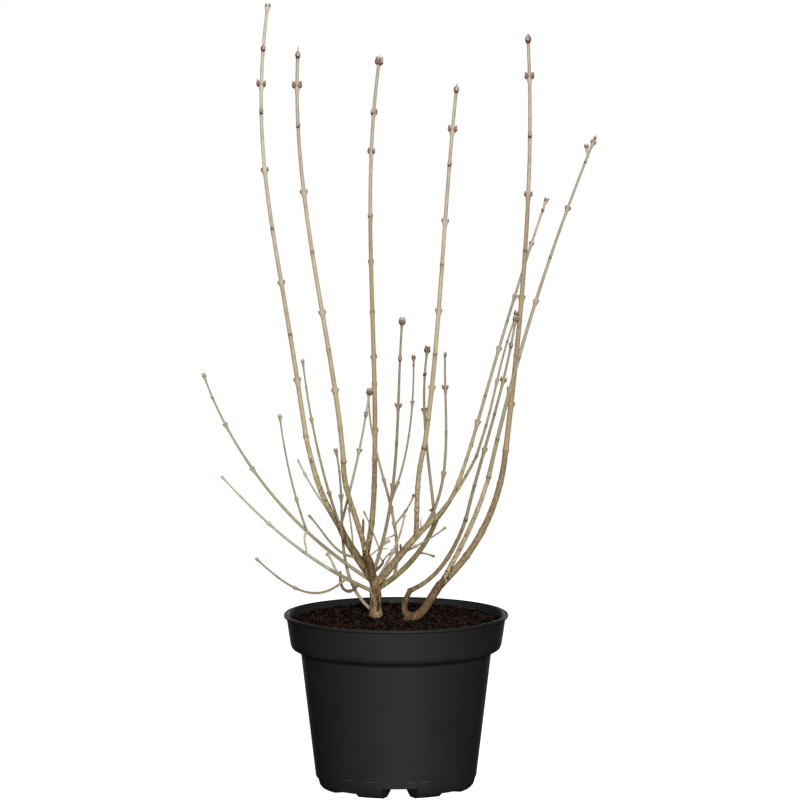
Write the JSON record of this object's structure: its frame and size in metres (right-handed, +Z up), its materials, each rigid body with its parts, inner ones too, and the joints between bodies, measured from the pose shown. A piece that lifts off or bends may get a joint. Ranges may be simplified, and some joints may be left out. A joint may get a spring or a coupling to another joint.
{
  "type": "potted bare lilac shrub",
  "caption": "Leafless lilac shrub with upright canes, budded shoots and fine side twigs, standing in a round black nursery pot with a collar and drainage notches.",
  "frame": {"origin": "on the ground under the middle of the plant, which is the axis of the pot", "axes": "+Z up along the pot axis, -Y towards the front, +X to the right as seen from the front"},
  "size_m": [0.4026, 0.2622, 0.803],
  "materials": {
    "pot": "satin black moulded polypropylene",
    "potting_mix": "moist dark peat with brown fibres",
    "old_bark": "grey-brown old bark with fine furrows",
    "cane_bark": "smooth olive-tan bark with pale pores",
    "shoot_bark": "smooth pale tan young bark with red-brown buds",
    "twig_bark": "thin tan and olive twig bark with red-brown buds"
  },
  "bodies": {
    "root": {"pot": "pot", "potting_mix": "potting_mix", "trunk": "old_bark", "left_bough": "old_bark", "right_bough": "old_bark", "middle_bough": "old_bark", "low_right_bough": "old_bark", "side_stem": "old_bark", "hooked_stem": "old_bark", "far_left_cane": "cane_bark", "left_cane": "cane_bark", "middle_cane": "cane_bark", "right_cane": "cane_bark", "slim_right_cane": "cane_bark", "back_right_cane": "cane_bark", "side_cane": "cane_bark", "outer_right_cane": "cane_bark", "front_right_cane": "cane_bark", "far_left_shoot": "shoot_bark", "left_shoot": "shoot_bark", "middle_shoot": "shoot_bark", "right_shoot": "shoot_bark", "side_shoot": "shoot_bark", "outer_right_shoot": "shoot_bark", "back_right_shoot": "shoot_bark", "slim_right_shoot": "shoot_bark", "front_right_shoot": "shoot_bark", "far_left_spray": "twig_bark", "low_left_spray": "twig_bark", "basal_spray": "twig_bark", "short_left_spray": "twig_bark", "front_left_spray": "twig_bark", "inner_left_spray": "twig_bark", "front_middle_spray": "twig_bark", "centre_spray": "twig_bark", "crossing_spray": "twig_bark", "flat_front_spray": "twig_bark", "flat_back_spray": "twig_bark", "back_spray": "twig_bark", "inner_right_spray": "twig_bark"}
  },
  "joints": []
}
